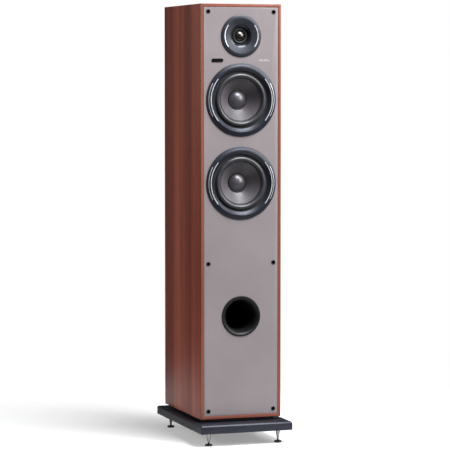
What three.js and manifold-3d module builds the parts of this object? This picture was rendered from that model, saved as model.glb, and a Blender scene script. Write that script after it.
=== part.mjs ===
// Floorstanding loudspeaker: a tall bass-reflex cabinet with one dome tweeter above two cone woofers,
// standing on a plinth board with four spiked feet. Millimetres, +Z up, the front faces -Y.
// The origin is on the floor below the centre of the plinth. Left and right are those of someone
// who looks at the front, so left is -X.

import * as THREE from "three";
import { mergeVertices } from "three/addons/utils/BufferGeometryUtils.js";
import Module from "manifold-3d";

const wasm = await Module();
wasm.setup();

// ---- Driving dimensions ----

const cabinet = { width: 205, depth: 292, height: 1004, wall: 15, lip: 7.5 };
const baffle = { thickness: 18, recess: 0.5 };
const rearPanel = { thickness: 15, recess: 1 };
const brace = { thickness: 12, rim: 26, cornerRadius: 20, heights: { upper: 728, lower: 450 } };
const riser = { height: 8, inset: 14 };
const plinth = { thickness: 20.5, sideOverhang: 14.5, frontOverhang: 46, backOverhang: 23, bevel: 1.5 };
const foot = { height: 32.5, inset: 28, boreRadius: 4.5, boreDepth: 17, studRadius: 4, studLength: 15.5 };

// Heights of what the baffle carries, measured down from the top of the cabinet.
const fromTop = { tweeter: 77, badge: 135.5, upperWoofer: 230.5, lowerWoofer: 431.5, port: 755 };
const socketDrops = { top: 19, middle: 626, bottom: 984.5 };
const socketReach = 83.3;

const tweeterHole = { radius: 39, rebateRadius: 51.3, rebateDepth: 4.3 };
const wooferHole = { radius: 74.5, rebateRadius: 85, rebateDepth: 7.2 };
const portHole = { radius: 44.5, rebateRadius: 49.3, rebateDepth: 3.3 };
const socketHoleRadius = 4.6;

const port = { mouthRadius: 46.5, boreRadius: 35, flareDepth: 24, proud: 2, length: 150, wall: 3 };
const badge = { width: 29.6, height: 8.4, thickness: 1.2, offset: -60.3 };

const terminal = {
  centreHeight: 200, flangeWidth: 112, flangeHeight: 84, flangeThickness: 3, flangeRadius: 8,
  recessWidth: 92, recessHeight: 64, recessRadius: 6, recessDepth: 26, wall: 2.5, postSpacing: 34,
};
const post = { studRadius: 3, boreRadius: 3.4, plugRadius: 2.05, capRadius: 8.2, capLength: 18, flutes: 12 };
const crossover = { width: 96, height: 120, thickness: 1.6, centreHeight: 330, standOff: 8 };

const gap = 0.3; // left between pieces that are glued, screwed or clamped together
const roundSteps = 24; // facets round a large turned piece
const innerSteps = 16; // facets round a piece that is hidden inside a driver
const smallSteps = 12; // facets round a foot or a terminal post
const socketSteps = 8; // facets round a grille socket

// ---- Places worked out from them ----

const plinthWidth = cabinet.width + 2 * plinth.sideOverhang;
const plinthDepth = cabinet.depth + plinth.frontOverhang + plinth.backOverhang;
const frontY = -plinthDepth / 2 + plinth.frontOverhang;
const backY = frontY + cabinet.depth;
const plinthTopZ = foot.height + plinth.thickness;
const bottomZ = plinthTopZ + riser.height;
const topZ = bottomZ + cabinet.height;
const baffleY = frontY + baffle.recess;
const rearY = backY - rearPanel.recess;
const halfWidth = cabinet.width / 2;
const innerHalfWidth = halfWidth - cabinet.wall;
const pocketHalfWidth = halfWidth - cabinet.lip;
const heightOf = (drop) => topZ - drop;

// ---- Materials ----

function finish(color, roughness, metalness) {
  return new THREE.MeshStandardMaterial({ color, roughness, metalness });
}

const veneer = finish(0x6b3a30, 0.45, 0);
const baffleGrey = finish(0xa09a9a, 0.5, 0);
const bareBoard = finish(0x9c7a55, 0.9, 0);
const blackBoard = finish(0x2a2a2e, 0.5, 0);
const mouldedBlack = finish(0x2c2e33, 0.35, 0);
const rubber = finish(0x4a4a4e, 0.6, 0);
const coneGrey = finish(0x4b4a4c, 0.45, 0);
const treatedCloth = finish(0xa37a3a, 0.9, 0);
const darkDome = finish(0x3a3a3e, 0.2, 0.8);
const copper = finish(0xb87333, 0.35, 1);
const steel = finish(0x8d9094, 0.4, 1);
const ferrite = finish(0x2f2f31, 0.7, 0.2);
const chrome = finish(0xc9cbce, 0.12, 1);
const blackMetal = finish(0x17171a, 0.35, 0.6);
const gilt = finish(0xc9a24b, 0.25, 1);
const redPlastic = finish(0xa01b1b, 0.3, 0);
const boardGreen = finish(0x2f5a3a, 0.6, 0);

// ---- Shape helpers ----

// A closed three.js geometry as a manifold-3d solid.
function solidOf(geometry) {
  const bare = geometry.clone();
  bare.deleteAttribute("normal");
  bare.deleteAttribute("uv");
  const merged = mergeVertices(bare, 1e-4);
  return new wasm.Manifold(
    new wasm.Mesh({
      numProp: 3,
      vertProperties: new Float32Array(merged.attributes.position.array),
      triVerts: new Uint32Array(merged.index.array),
    }),
  );
}

// A manifold-3d solid as a three.js geometry.
function geometryOf(solid) {
  const mesh = solid.getMesh();
  return new THREE.BufferGeometry()
    .setAttribute("position", new THREE.BufferAttribute(new Float32Array(mesh.vertProperties), 3))
    .setIndex(new THREE.BufferAttribute(new Uint32Array(mesh.triVerts), 1));
}

// The body geometry with every cutter geometry taken out of it.
function carved(body, cutters) {
  let solid = solidOf(body);
  for (const cutter of cutters) solid = solid.subtract(solidOf(cutter));
  return geometryOf(solid);
}

// A box between two corners.
function block(low, high) {
  const size = high.map((value, i) => value - low[i]);
  const middle = high.map((value, i) => (value + low[i]) / 2);
  return new THREE.BoxGeometry(...size).translate(...middle);
}

// A cylinder whose axis runs along Y, from one Y to another.
function bore(radius, fromY, toY, x, z, steps) {
  return new THREE.CylinderGeometry(radius, radius, toY - fromY, steps)
    .translate(x, (fromY + toY) / 2, z);
}

// A turned piece about the Y axis. The profile is [radius, y] points; it closes on itself, or starts
// and ends on the axis. It is put in the order that makes the faces point outwards.
function turned(profile, steps) {
  const onAxis = profile[0][0] === 0 && profile.at(-1)[0] === 0;
  const loop = onAxis ? profile : [...profile, profile[0]];
  const area = loop.reduce((sum, [r, y], i) => {
    const [nextR, nextY] = loop[(i + 1) % loop.length];
    return sum + r * nextY - nextR * y;
  }, 0);
  const ordered = area > 0 ? loop : [...loop].reverse();
  return new THREE.LatheGeometry(ordered.map(([r, y]) => new THREE.Vector2(r, y)), steps);
}

// The same, standing upright: the profile is [radius, z] points.
function turnedUpright(profile, steps) {
  return turned(profile, steps).rotateX(Math.PI / 2);
}

// Points along part of an ellipse, as [radius, y] pairs. Angle 0 points to a larger radius and
// 90 degrees to a smaller y, which is towards the front.
function ellipse(centreR, centreY, halfR, halfY, fromDegrees, toDegrees, count) {
  return Array.from({ length: count + 1 }, (_, i) => {
    const angle = THREE.MathUtils.degToRad(fromDegrees + ((toDegrees - fromDegrees) * i) / count);
    return [centreR + halfR * Math.cos(angle), centreY - halfY * Math.sin(angle)];
  });
}

// A rectangle with round corners, centred on the origin.
function roundedRectangle(width, height, radius) {
  const x = width / 2 - radius;
  const y = height / 2 - radius;
  const quarter = Math.PI / 2;
  const shape = new THREE.Shape();
  shape.absarc(x, y, radius, 0, quarter);
  shape.absarc(-x, y, radius, quarter, 2 * quarter);
  shape.absarc(-x, -y, radius, 2 * quarter, 3 * quarter);
  shape.absarc(x, -y, radius, 3 * quarter, 4 * quarter);
  shape.closePath();
  return shape;
}

// A flat shape drawn in X and Z, made solid from one Y to another.
function slab(shape, fromY, toY, curveSegments = 3) {
  return new THREE.ExtrudeGeometry(shape, { depth: toY - fromY, bevelEnabled: false, curveSegments })
    .rotateX(Math.PI / 2)
    .translate(0, toY, 0);
}

const speaker = new THREE.Group();

function place(name, geometry, material, position = [0, 0, 0], parent = speaker) {
  const mesh = new THREE.Mesh(geometry, material);
  mesh.name = name;
  mesh.position.set(...position);
  parent.add(mesh);
}

function groupAt(x, y, z) {
  const group = new THREE.Group();
  group.position.set(x, y, z);
  speaker.add(group);
  return group;
}

// ---- Cabinet ----

// The four outer walls are mitred where they meet. Behind their front edges a pocket takes the baffle
// and leaves a narrow lip round it, and another pocket takes the rear panel.
function addOuterWalls() {
  const pockets = [
    block(
      [-pocketHalfWidth, frontY - 1, bottomZ + cabinet.lip],
      [pocketHalfWidth, baffleY + baffle.thickness + gap, topZ - cabinet.lip],
    ),
    block(
      [-pocketHalfWidth, rearY - rearPanel.thickness - gap, bottomZ + cabinet.lip],
      [pocketHalfWidth, backY + 1, topZ - cabinet.lip],
    ),
  ];
  const mitre = gap / 2;
  const outer = halfWidth;
  const inner = innerHalfWidth;
  const wallShape = (corners) => new THREE.Shape(corners.map(([x, z]) => new THREE.Vector2(x, z)));
  for (const [side, sign] of [["left", -1], ["right", 1]]) {
    const shape = wallShape([
      [sign * outer, bottomZ + mitre],
      [sign * outer, topZ - mitre],
      [sign * inner, topZ - cabinet.wall - mitre],
      [sign * inner, bottomZ + cabinet.wall + mitre],
    ]);
    place(`${side}_side_panel`, carved(slab(shape, frontY, backY), pockets), veneer);
  }
  for (const [end, edge, towards] of [["bottom", bottomZ, 1], ["top", topZ, -1]]) {
    const shape = wallShape([
      [-outer + mitre, edge],
      [outer - mitre, edge],
      [inner - mitre, edge + towards * cabinet.wall],
      [-inner + mitre, edge + towards * cabinet.wall],
    ]);
    place(`${end}_panel`, carved(slab(shape, frontY, backY), pockets), veneer);
  }
}

// Low and high corners of a board that fills a pocket, short of it by the glue gap.
function pocketBoard(fromY, toY) {
  return block(
    [-pocketHalfWidth + gap, fromY, bottomZ + cabinet.lip + gap],
    [pocketHalfWidth - gap, toY, topZ - cabinet.lip - gap],
  );
}

// The two cutters for a hole with a rebate round its mouth, in the front of the baffle.
function rebatedHole(hole, drop) {
  const z = heightOf(drop);
  const throughY = baffleY + baffle.thickness + 1;
  return [
    bore(hole.radius, baffleY - 1, throughY, 0, z, roundSteps),
    bore(hole.rebateRadius, baffleY - 1, baffleY + hole.rebateDepth, 0, z, roundSteps),
  ];
}

function addBaffle() {
  const cutters = [
    ...rebatedHole(tweeterHole, fromTop.tweeter),
    ...rebatedHole(wooferHole, fromTop.upperWoofer),
    ...rebatedHole(wooferHole, fromTop.lowerWoofer),
    ...rebatedHole(portHole, fromTop.port),
  ];
  for (const drop of Object.values(socketDrops)) {
    for (const side of [-1, 1]) {
      const x = side * socketReach;
      const throughY = baffleY + baffle.thickness + 1;
      cutters.push(bore(socketHoleRadius, baffleY - 1, throughY, x, heightOf(drop), socketSteps));
    }
  }
  const board = pocketBoard(baffleY, baffleY + baffle.thickness);
  place("front_baffle", carved(board, cutters), baffleGrey);
}

function addRearPanel() {
  const cutOut = roundedRectangle(
    terminal.recessWidth + 2 * terminal.wall + 2,
    terminal.recessHeight + 2 * terminal.wall + 2,
    terminal.recessRadius + terminal.wall,
  );
  const hole = slab(cutOut, rearY - rearPanel.thickness - 1, rearY + 1)
    .translate(0, 0, terminal.centreHeight);
  place("rear_panel", carved(pocketBoard(rearY - rearPanel.thickness, rearY), [hole]), veneer);
}

// A horizontal frame that ties the four walls together and lets the air through its window.
function addBraces() {
  const fromY = baffleY + baffle.thickness + gap;
  const toY = rearY - rearPanel.thickness - gap;
  const width = 2 * (innerHalfWidth - gap);
  const depth = toY - fromY;
  const window = roundedRectangle(width - 2 * brace.rim, depth - 2 * brace.rim, brace.cornerRadius);
  const frame = new THREE.Shape([
    new THREE.Vector2(-width / 2, -depth / 2),
    new THREE.Vector2(width / 2, -depth / 2),
    new THREE.Vector2(width / 2, depth / 2),
    new THREE.Vector2(-width / 2, depth / 2),
  ]);
  frame.holes.push(window);
  for (const [name, height] of Object.entries(brace.heights)) {
    const board = new THREE.ExtrudeGeometry(frame, {
      depth: brace.thickness,
      bevelEnabled: false,
      curveSegments: 4,
    });
    place(`${name}_brace`, board, bareBoard, [0, (fromY + toY) / 2, height]);
  }
}

// ---- Woofers ----

// In each driver +Y runs into the cabinet and 0 is the front face of the baffle.
const roll = { centre: 58.6, half: 5.6, rise: 6.2, base: 3.1, thickness: 1, innerEdge: 50 };
const cone = { rimRadius: 52.8, rimY: 1.6, neckRadius: 13.2, neckY: 39, thickness: 1.2 };
const coil = { innerRadius: 12.3, outerRadius: 12.9, windingRadius: 13.9, topY: 34, windingY: 60, endY: 75 };
const basket = { flangeY: 4.4, flangeBackY: 6.9, shelfY: 42, baseY: 62, spokes: 6 };

// Covers the basket's flange and its screws: the outer chamfer falls away to the baffle and the
// inner one slopes down to the rubber surround.
function trimRing() {
  return turned(
    [
      [88.5, -gap], [88.5, -2.2], [87.9, -2.9], [79, -5.6], [77.6, -5.6], [69.2, 1.2], [69.2, 2.8],
      [73.3, 2.8], [73.3, 4.1], [84.3, 4.1], [84.3, -gap],
    ],
    roundSteps,
  );
}

// The flange, two rings of openings and the floor that the motor is riveted to.
function basketFrame() {
  const shell = turned(
    [
      [83.8, basket.flangeY], [66.5, basket.flangeY], [66.5, 7], [53.5, basket.shelfY],
      [47, basket.shelfY], [47, 44], [50, 44.4], [42.8, 60.5], [20, basket.baseY], [20, 64.5],
      [45.5, 64.5], [46, 61], [54, 44.5], [56.5, basket.shelfY], [69.5, 7.4], [71, basket.flangeBackY],
      [83.8, basket.flangeBackY],
    ],
    innerSteps,
  );
  const windows = [];
  for (let i = 0; i < basket.spokes; i += 1) {
    const angle = (i / basket.spokes) * 2 * Math.PI;
    windows.push(block([-19, 12, 40], [19, 38.5, 80]).rotateY(angle));
    windows.push(block([-14, 47, 38], [14, 58, 62]).rotateY(angle));
  }
  return carved(shell, windows);
}

// The rubber half-roll between the cone and the basket, with a flat flange on each side.
function surround() {
  const outside = ellipse(roll.centre, roll.base, roll.half, roll.rise, 0, 180, 5);
  const inside = ellipse(
    roll.centre, roll.base + roll.thickness,
    roll.half - roll.thickness, roll.rise, 180, 0, 4,
  );
  return turned(
    [
      [73, roll.base], ...outside, [roll.innerEdge, roll.base],
      [roll.innerEdge, roll.base + roll.thickness], ...inside, [73, roll.base + roll.thickness],
    ],
    roundSteps,
  );
}

// The cone slopes back from its rim to the neck that holds the voice coil.
function coneShell() {
  const bend = (t) => {
    const r = THREE.MathUtils.lerp(cone.rimRadius - 4.6, cone.neckRadius, t);
    const y = THREE.MathUtils.lerp(cone.rimY + 0.4, cone.neckY - 3, t) + 2.2 * Math.sin(Math.PI * t);
    return [r, y];
  };
  const steps = [0, 0.33, 0.67, 1];
  const front = steps.map(bend);
  const back = [...front].reverse().map(([r, y]) => [r + 0.8, y + cone.thickness]);
  return turned(
    [
      [cone.rimRadius, cone.rimY], ...front, [cone.neckRadius, cone.neckY],
      [cone.neckRadius + 1, cone.neckY], ...back.slice(0, -1),
      [cone.rimRadius - 4.3, cone.rimY + cone.thickness], [cone.rimRadius, cone.rimY + cone.thickness],
    ],
    roundSteps,
  );
}

// A shallow dome shell over the neck of a cone or a coil: its rim, its apex and its thickness.
function domeShell(rimRadius, rimY, rise, thickness, steps, facets) {
  const sphere = (rimRadius * rimRadius + rise * rise) / (2 * rise);
  const widest = Math.asin(rimRadius / sphere);
  const arc = (radius) =>
    Array.from({ length: facets + 1 }, (_, i) => {
      const angle = (widest * i) / facets;
      return [i === 0 ? 0 : radius * Math.sin(angle), rimY - rise + sphere - radius * Math.cos(angle)];
    });
  return turned([...arc(sphere), ...arc(sphere - thickness).reverse()], steps);
}

// A pleated cloth disc that centres the coil. Its outer flange lies on the basket's shelf.
function spider() {
  const flat = basket.shelfY - 0.4;
  const pleats = 5;
  const crest = (i) => {
    const r = THREE.MathUtils.lerp(16.5, 46.5, i / pleats);
    return [r, flat - 1.2 + (i % 2 ? -1.5 : 1.5) * (i > 0 && i < pleats ? 1 : 0)];
  };
  const front = Array.from({ length: pleats + 1 }, (_, i) => crest(i));
  const back = [...front].reverse().map(([r, y]) => [r, y + 0.8]);
  return turned(
    [[13.3, flat - 1.2], ...front, [52.8, flat - 0.8], [52.8, flat], ...back, [13.3, flat - 0.4]],
    innerSteps,
  );
}

function voiceCoil() {
  return turned(
    [
      [coil.innerRadius, coil.topY], [coil.outerRadius, coil.topY],
      [coil.outerRadius, coil.windingY], [coil.windingRadius, coil.windingY],
      [coil.windingRadius, coil.endY], [coil.innerRadius, coil.endY],
    ],
    innerSteps,
  );
}

function ring(innerRadius, outerRadius, fromY, toY, steps) {
  return turned(
    [[innerRadius, fromY], [outerRadius, fromY], [outerRadius, toY], [innerRadius, toY]],
    steps,
  );
}

// The vented pole stands in the coil and the back plate closes the magnetic circuit.
function yoke() {
  return turned(
    [[4, 64.8], [11.7, 64.8], [11.7, 86.4], [44, 86.4], [44, 90.5], [42.5, 92], [4, 92]],
    innerSteps,
  );
}

function addWoofer(name, drop) {
  const driver = groupAt(0, baffleY, heightOf(drop));
  const add = (piece, geometry, material) =>
    place(`${name}_woofer_${piece}`, geometry, material, [0, 0, 0], driver);
  add("trim_ring", trimRing(), mouldedBlack);
  add("basket", basketFrame(), mouldedBlack);
  add("surround", surround(), rubber);
  add("spider", spider(), treatedCloth);
  add("top_plate", ring(14.5, 45, 64.8, 69.8, innerSteps), steel);
  add("magnet", ring(24, 47, 70.1, 86.1, innerSteps), ferrite);
  add("yoke", yoke(), steel);
  add("cone", coneShell(), coneGrey);
  add("dust_cap", domeShell(21.2, 27.2, 8.5, 1, innerSteps, 4), coneGrey);
  add("voice_coil", voiceCoil(), copper);
}

// ---- Tweeter ----

// A moulded plate with a shallow horn that runs down to the dome.
function tweeterPlate() {
  return turned(
    [
      [51, 4], [51, -1.2], [50.2, -2.2], [44, -3.6], [41.5, -3.5], [36, -2.1], [31, -0.7], [27, 0.5],
      [23, 3.2], [20.4, 7.5], [20.4, 10.2], [28, 10.2], [31, 7], [36, 4],
    ],
    roundSteps,
  );
}

function tweeterSurround() {
  const outside = ellipse(16.2, 10.5, 2.8, 2.2, 0, 180, 4);
  const inside = ellipse(16.2, 11.1, 2.3, 2.2, 180, 0, 4);
  return turned(
    [[26.5, 10.5], ...outside, [12.9, 10.5], [12.9, 11.1], ...inside, [26.5, 11.1]],
    innerSteps,
  );
}

// Front plate, magnet and pot in one riveted unit, with the slot that the voice coil moves in.
function tweeterMotor() {
  return turned(
    [[0, 11.8], [11.2, 11.8], [11.2, 21], [13.4, 21], [13.4, 11.4], [36, 11.4], [36, 40], [0, 40]],
    innerSteps,
  );
}

function addTweeter() {
  const driver = groupAt(0, baffleY, heightOf(fromTop.tweeter));
  const add = (piece, geometry, material) =>
    place(`tweeter_${piece}`, geometry, material, [0, 0, 0], driver);
  add("faceplate", tweeterPlate(), mouldedBlack);
  add("surround", tweeterSurround(), rubber);
  add("motor", tweeterMotor(), ferrite);
  add("dome", domeShell(12.6, 10.3, 5.7, 0.5, innerSteps, 4), darkDome);
  add("voice_coil", ring(11.8, 12.5, 11, 17.5, innerSteps), copper);
}

// ---- Reflex port, grille sockets and badge ----

// The mouth flares in a quarter ellipse and the tube runs on into the cabinet.
function addPort() {
  const { mouthRadius, boreRadius, flareDepth, proud, length, wall } = port;
  const spread = mouthRadius - boreRadius;
  const flare = ellipse(mouthRadius, flareDepth, spread, flareDepth + proud, 90, 180, 5);
  const backOfFlare = ellipse(mouthRadius, flareDepth, spread - wall, flareDepth - 5, 180, 115, 2);
  const tube = turned(
    [
      ...flare, [boreRadius, length], [boreRadius + wall, length], ...backOfFlare,
      [43.8, 3], [49, 3], [49, -0.9], [48, -proud],
    ],
    roundSteps,
  );
  place("port_tube", tube, mouldedBlack, [0, baffleY, heightOf(fromTop.port)]);
}

function addGrilleSockets() {
  const cup = () =>
    turned(
      [[0, 11], [3.5, 11], [3.5, -0.9], [5.2, -0.9], [5.6, -0.2], [4.3, -0.2], [4.3, 13], [0, 13]],
      socketSteps,
    );
  for (const [row, drop] of Object.entries(socketDrops)) {
    for (const [side, sign] of [["left", -1], ["right", 1]]) {
      const position = [sign * socketReach, baffleY, heightOf(drop)];
      place(`grille_socket_${row}_${side}`, cup(), rubber, position);
    }
  }
}

function addBadge() {
  const { width, height, thickness } = badge;
  const pill = slab(roundedRectangle(width, height, height / 2 - 0.01), -thickness - gap / 2, -gap / 2, 4);
  place("badge_plate", pill, mouldedBlack, [badge.offset, baffleY, heightOf(fromTop.badge)]);
}

// ---- Plinth and feet ----

const corners = [
  ["front_left", -1, -1],
  ["front_right", 1, -1],
  ["rear_left", -1, 1],
  ["rear_right", 1, 1],
].map(([name, alongX, alongY]) => ({
  name,
  x: alongX * (plinthWidth / 2 - foot.inset),
  y: alongY * (plinthDepth / 2 - foot.inset),
}));

function addPlinth() {
  const { thickness, bevel } = plinth;
  const outline = roundedRectangle(plinthWidth - 2 * bevel, plinthDepth - 2 * bevel, 1);
  const board = new THREE.ExtrudeGeometry(outline, {
    depth: thickness - 2 * bevel,
    bevelThickness: bevel,
    bevelSize: bevel,
    bevelSegments: 1,
    curveSegments: 2,
  }).translate(0, 0, foot.height + bevel);
  const threads = corners.map(({ x, y }) =>
    new THREE.CylinderGeometry(foot.boreRadius, foot.boreRadius, foot.boreDepth + 5, smallSteps)
      .rotateX(Math.PI / 2)
      .translate(x, y, foot.height + (foot.boreDepth - 5) / 2),
  );
  place("plinth_board", carved(board, threads), blackBoard);
  const spacer = block(
    [-halfWidth + riser.inset, frontY + riser.inset, plinthTopZ + gap / 2],
    [halfWidth - riser.inset, backY - riser.inset, bottomZ - gap / 2],
  );
  place("plinth_riser", spacer, blackBoard);
}

// Each foot is a turned spike, screwed up into the plinth as far as its collar, and the loose pad
// that its point stands on.
function addFeet() {
  const collarZ = foot.height - gap;
  const spike = () =>
    turnedUpright(
      [
        [0, 2.2], [0.5, 2.2], [2, 6], [6.3, collarZ - 2.4], [6.3, collarZ], [foot.studRadius, collarZ],
        [foot.studRadius, collarZ + foot.studLength], [0, collarZ + foot.studLength],
      ],
      smallSteps,
    );
  const pad = () =>
    turnedUpright(
      [[0, 0], [8.8, 0], [8.8, 3.8], [8, 4.5], [3.2, 4.5], [1, 1.7], [0, 1.7]],
      smallSteps,
    );
  for (const { name, x, y } of corners) {
    place(`spike_${name}`, spike(), chrome, [x, y, 0]);
    place(`foot_pad_${name}`, pad(), blackMetal, [x, y, 0]);
  }
}

// ---- Terminals and crossover ----

const flangeOuterY = rearY + 0.2 + terminal.flangeThickness;
const recessFloorY = flangeOuterY - terminal.recessDepth;

function addTerminalCup() {
  const { flangeWidth, flangeHeight, flangeRadius, recessWidth, recessHeight, recessRadius, wall } =
    terminal;
  const flange = roundedRectangle(flangeWidth, flangeHeight, flangeRadius);
  const outside = roundedRectangle(
    recessWidth + 2 * wall, recessHeight + 2 * wall, recessRadius + wall,
  );
  const inside = roundedRectangle(recessWidth, recessHeight, recessRadius);
  const body = solidOf(slab(flange, rearY + 0.2, flangeOuterY))
    .add(solidOf(slab(outside, recessFloorY - wall, flangeOuterY - 1)));
  const cutters = [slab(inside, recessFloorY, flangeOuterY + 1)];
  for (const side of [-1, 1]) {
    const x = (side * terminal.postSpacing) / 2;
    cutters.push(bore(post.boreRadius, recessFloorY - 10, recessFloorY + 1, x, 0, smallSteps));
  }
  place("terminal_cup", carved(geometryOf(body), cutters), mouldedBlack, [0, 0, terminal.centreHeight]);
}

// The fluted cap of a binding post, bored for its stud, from Y 0 to its length.
function postCap() {
  const outline = new THREE.Shape();
  for (let i = 0; i < 2 * post.flutes; i += 1) {
    const angle = (i / post.flutes) * Math.PI;
    const radius = post.capRadius - (i % 2 ? 0.7 : 0);
    const point = [radius * Math.cos(angle), radius * Math.sin(angle)];
    if (i === 0) outline.moveTo(...point);
    else outline.lineTo(...point);
  }
  const hole = new THREE.Path();
  hole.absarc(0, 0, post.boreRadius, 0, 2 * Math.PI, true);
  outline.holes.push(hole);
  return slab(outline, 0, post.capLength, 8);
}

// Each post is a stud fixed in the cup, a washer that slides on it and a cap that screws along it.
function addBindingPosts() {
  const { studRadius, plugRadius } = post;
  const stud = () =>
    turned(
      [
        [0, -14], [studRadius, -14], [studRadius, 0.2], [6.5, 0.2], [6.5, 3.2], [studRadius, 3.2],
        [studRadius, 24], [studRadius - 0.4, 24.5], [plugRadius, 24.5], [plugRadius, 8], [0, 8],
      ],
      smallSteps,
    );
  for (const [name, sign, capMaterial] of [
    ["negative", -1, mouldedBlack],
    ["positive", 1, redPlastic],
  ]) {
    const x = (sign * terminal.postSpacing) / 2;
    const at = (y) => [x, recessFloorY + y, terminal.centreHeight];
    place(`${name}_post_stud`, stud(), gilt, at(0));
    place(`${name}_post_washer`, ring(post.boreRadius, 6.8, 0, 1, smallSteps), gilt, at(3.4));
    place(`${name}_post_cap`, postCap(), capMaterial, at(4.6));
  }
}

// The filter board stands off the inside of the rear panel and carries a wound inductor.
function addCrossover() {
  const faceY = rearY - rearPanel.thickness - crossover.standOff;
  const board = block(
    [-crossover.width / 2, faceY - crossover.thickness, -crossover.height / 2],
    [crossover.width / 2, faceY, crossover.height / 2],
  );
  place("crossover_board", board, boardGreen, [0, 0, crossover.centreHeight]);
  const inductor = ring(9, 20, faceY - crossover.thickness - 20, faceY - crossover.thickness - gap,
    innerSteps);
  place("crossover_inductor", inductor, copper, [-22, 0, crossover.centreHeight + 32]);
}

addOuterWalls();
addBaffle();
addRearPanel();
addBraces();
addWoofer("upper", fromTop.upperWoofer);
addWoofer("lower", fromTop.lowerWoofer);
addTweeter();
addPort();
addGrilleSockets();
addBadge();
addPlinth();
addFeet();
addTerminalCup();
addBindingPosts();
addCrossover();

export default speaker;
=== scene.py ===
import math
import bpy
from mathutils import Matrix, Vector
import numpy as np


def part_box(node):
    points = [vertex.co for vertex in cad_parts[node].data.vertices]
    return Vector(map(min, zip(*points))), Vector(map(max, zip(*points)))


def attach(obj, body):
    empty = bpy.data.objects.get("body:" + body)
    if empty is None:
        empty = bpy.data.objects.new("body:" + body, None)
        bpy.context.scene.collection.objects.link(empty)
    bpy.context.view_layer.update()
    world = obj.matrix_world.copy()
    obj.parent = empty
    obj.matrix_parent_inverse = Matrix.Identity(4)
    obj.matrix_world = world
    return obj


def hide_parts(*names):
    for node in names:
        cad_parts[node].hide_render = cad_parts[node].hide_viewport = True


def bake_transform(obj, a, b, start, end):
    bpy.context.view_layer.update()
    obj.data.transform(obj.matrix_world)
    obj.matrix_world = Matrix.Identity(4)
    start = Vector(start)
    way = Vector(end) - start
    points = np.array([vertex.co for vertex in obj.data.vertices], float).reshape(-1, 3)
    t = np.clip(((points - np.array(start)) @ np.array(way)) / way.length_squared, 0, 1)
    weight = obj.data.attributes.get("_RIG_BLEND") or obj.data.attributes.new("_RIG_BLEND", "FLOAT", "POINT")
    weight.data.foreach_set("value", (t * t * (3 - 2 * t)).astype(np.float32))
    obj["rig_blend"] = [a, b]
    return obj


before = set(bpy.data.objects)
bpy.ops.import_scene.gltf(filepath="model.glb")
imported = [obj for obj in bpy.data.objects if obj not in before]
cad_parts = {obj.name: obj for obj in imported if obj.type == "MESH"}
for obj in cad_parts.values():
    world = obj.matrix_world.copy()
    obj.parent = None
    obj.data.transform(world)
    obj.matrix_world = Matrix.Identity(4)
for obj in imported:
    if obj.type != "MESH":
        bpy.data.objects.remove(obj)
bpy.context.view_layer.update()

mm = 0.001


def corner(node):  # a node's lowest and highest corners
    low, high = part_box(node)
    return Vector(low), Vector(high)


def middleOf(node):
    low, high = corner(node)
    return (low + high) / 2


baffleFace = corner("front_baffle")[0].y
leftLow, leftHigh = corner("left_side_panel")
cabinetLow = Vector((leftLow.x, leftLow.y, corner("bottom_panel")[0].z))
cabinetHigh = Vector((corner("right_side_panel")[1].x, leftHigh.y, corner("top_panel")[1].z))
baffleLow, baffleHigh = corner("front_baffle")


def onBaffle(node):  # the point of the baffle's face in front of a node
    middle = middleOf(node)
    return Vector((middle.x, baffleFace, middle.z))


view = {
    "place": (-1.7524, -5.1503, 0.8783),
    "target": (-0.0374, -0.1234, 0.5320),
    "lens": 175.95,
}
studio = {
    "skyForLight": 0.14,
    "skyForGloss": 0.05,
    "floorShade": (0.90, 0.90, 0.90, 1),
    "floorClear": (0.3, 1.05),  # metres from the middle between which the floor melts into the white
    "floorStrength": 0.7,
    "lamps": [
        # name, place, target, size, watts, colour
        ("keyLamp", (0.85, -1.65, 3.4), (0, -0.1, 0.5), 1.8, 235, (0.95, 0.975, 1.0)),
        ("frontLamp", (2.4, -2.5, 2.0), (0, -0.1, 0.4), 1.9, 88, (1.0, 0.98, 0.96)),
        ("rightLamp", (2.6, -0.9, 2.2), (0, -0.1, 0.6), 1.1, 40, (0.96, 0.98, 1.0)),
        ("leftLamp", (-3.0, 1.3, 1.6), (0, 0, 0.6), 0.9, 55, (1.0, 0.98, 0.96)),
    ],
}


def aim(place, target):
    return (Vector(target) - Vector(place)).to_track_quat("-Z", "Y").to_euler()


def addCamera():
    bpy.ops.object.camera_add(location=view["place"], rotation=aim(view["place"], view["target"]))
    camera = bpy.context.object
    camera.data.lens = view["lens"]
    camera.data.clip_end = 60
    bpy.context.scene.camera = camera


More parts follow.
